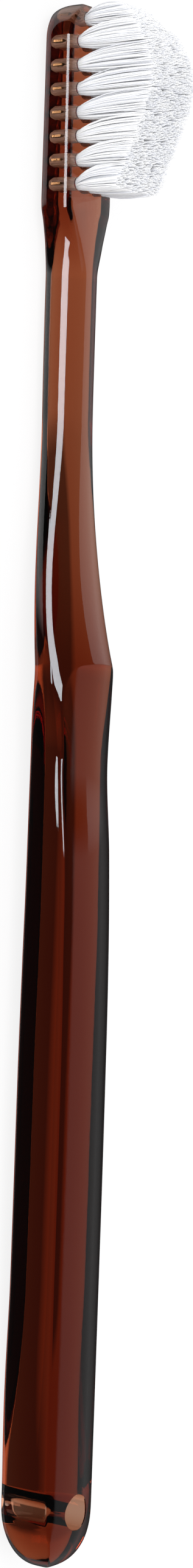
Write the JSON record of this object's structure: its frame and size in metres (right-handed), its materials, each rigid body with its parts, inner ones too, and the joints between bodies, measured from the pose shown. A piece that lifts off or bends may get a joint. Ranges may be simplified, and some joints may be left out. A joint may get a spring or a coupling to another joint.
{
  "type": "manual toothbrush",
  "caption": "Manual toothbrush with a clear brown handle, a thumb rest, a hanging hole, and a small head of dome-trimmed white bristle tufts.",
  "frame": {"origin": "on the surface that the back lies on, under the middle of the length and width", "axes": "+X along the handle from the head to the tail, +Y across it, +Z from the back to the bristles"},
  "size_m": [0.18, 0.0104, 0.016],
  "materials": {
    "clear_resin": "polished, clear brown, moulded in one piece",
    "bristle_nylon": "white nylon filaments with cut and rounded ends",
    "anchor_wire": "bright flat wire"
  },
  "bodies": {
    "root": {"handle": "clear_resin", "tuft_r1_c1": "bristle_nylon", "tuft_r1_c2": "bristle_nylon", "tuft_r2_c1": "bristle_nylon", "tuft_r2_c2": "bristle_nylon", "tuft_r2_c3": "bristle_nylon", "tuft_r3_c1": "bristle_nylon", "tuft_r3_c2": "bristle_nylon", "tuft_r3_c3": "bristle_nylon", "tuft_r4_c1": "bristle_nylon", "tuft_r4_c2": "bristle_nylon", "tuft_r4_c3": "bristle_nylon", "tuft_r5_c1": "bristle_nylon", "tuft_r5_c2": "bristle_nylon", "tuft_r5_c3": "bristle_nylon", "tuft_r6_c1": "bristle_nylon", "tuft_r6_c2": "bristle_nylon", "tuft_r6_c3": "bristle_nylon", "tuft_r7_c1": "bristle_nylon", "tuft_r7_c2": "bristle_nylon", "tuft_r7_c3": "bristle_nylon", "tuft_r8_c1": "bristle_nylon", "tuft_r8_c2": "bristle_nylon", "tuft_r8_c3": "bristle_nylon", "anchor_r1_c1": "anchor_wire", "anchor_r1_c2": "anchor_wire", "anchor_r2_c1": "anchor_wire", "anchor_r2_c2": "anchor_wire", "anchor_r2_c3": "anchor_wire", "anchor_r3_c1": "anchor_wire", "anchor_r3_c2": "anchor_wire", "anchor_r3_c3": "anchor_wire", "anchor_r4_c1": "anchor_wire", "anchor_r4_c2": "anchor_wire", "anchor_r4_c3": "anchor_wire", "anchor_r5_c1": "anchor_wire", "anchor_r5_c2": "anchor_wire", "anchor_r5_c3": "anchor_wire", "anchor_r6_c1": "anchor_wire", "anchor_r6_c2": "anchor_wire", "anchor_r6_c3": "anchor_wire", "anchor_r7_c1": "anchor_wire", "anchor_r7_c2": "anchor_wire", "anchor_r7_c3": "anchor_wire", "anchor_r8_c1": "anchor_wire", "anchor_r8_c2": "anchor_wire", "anchor_r8_c3": "anchor_wire"}
  },
  "joints": []
}
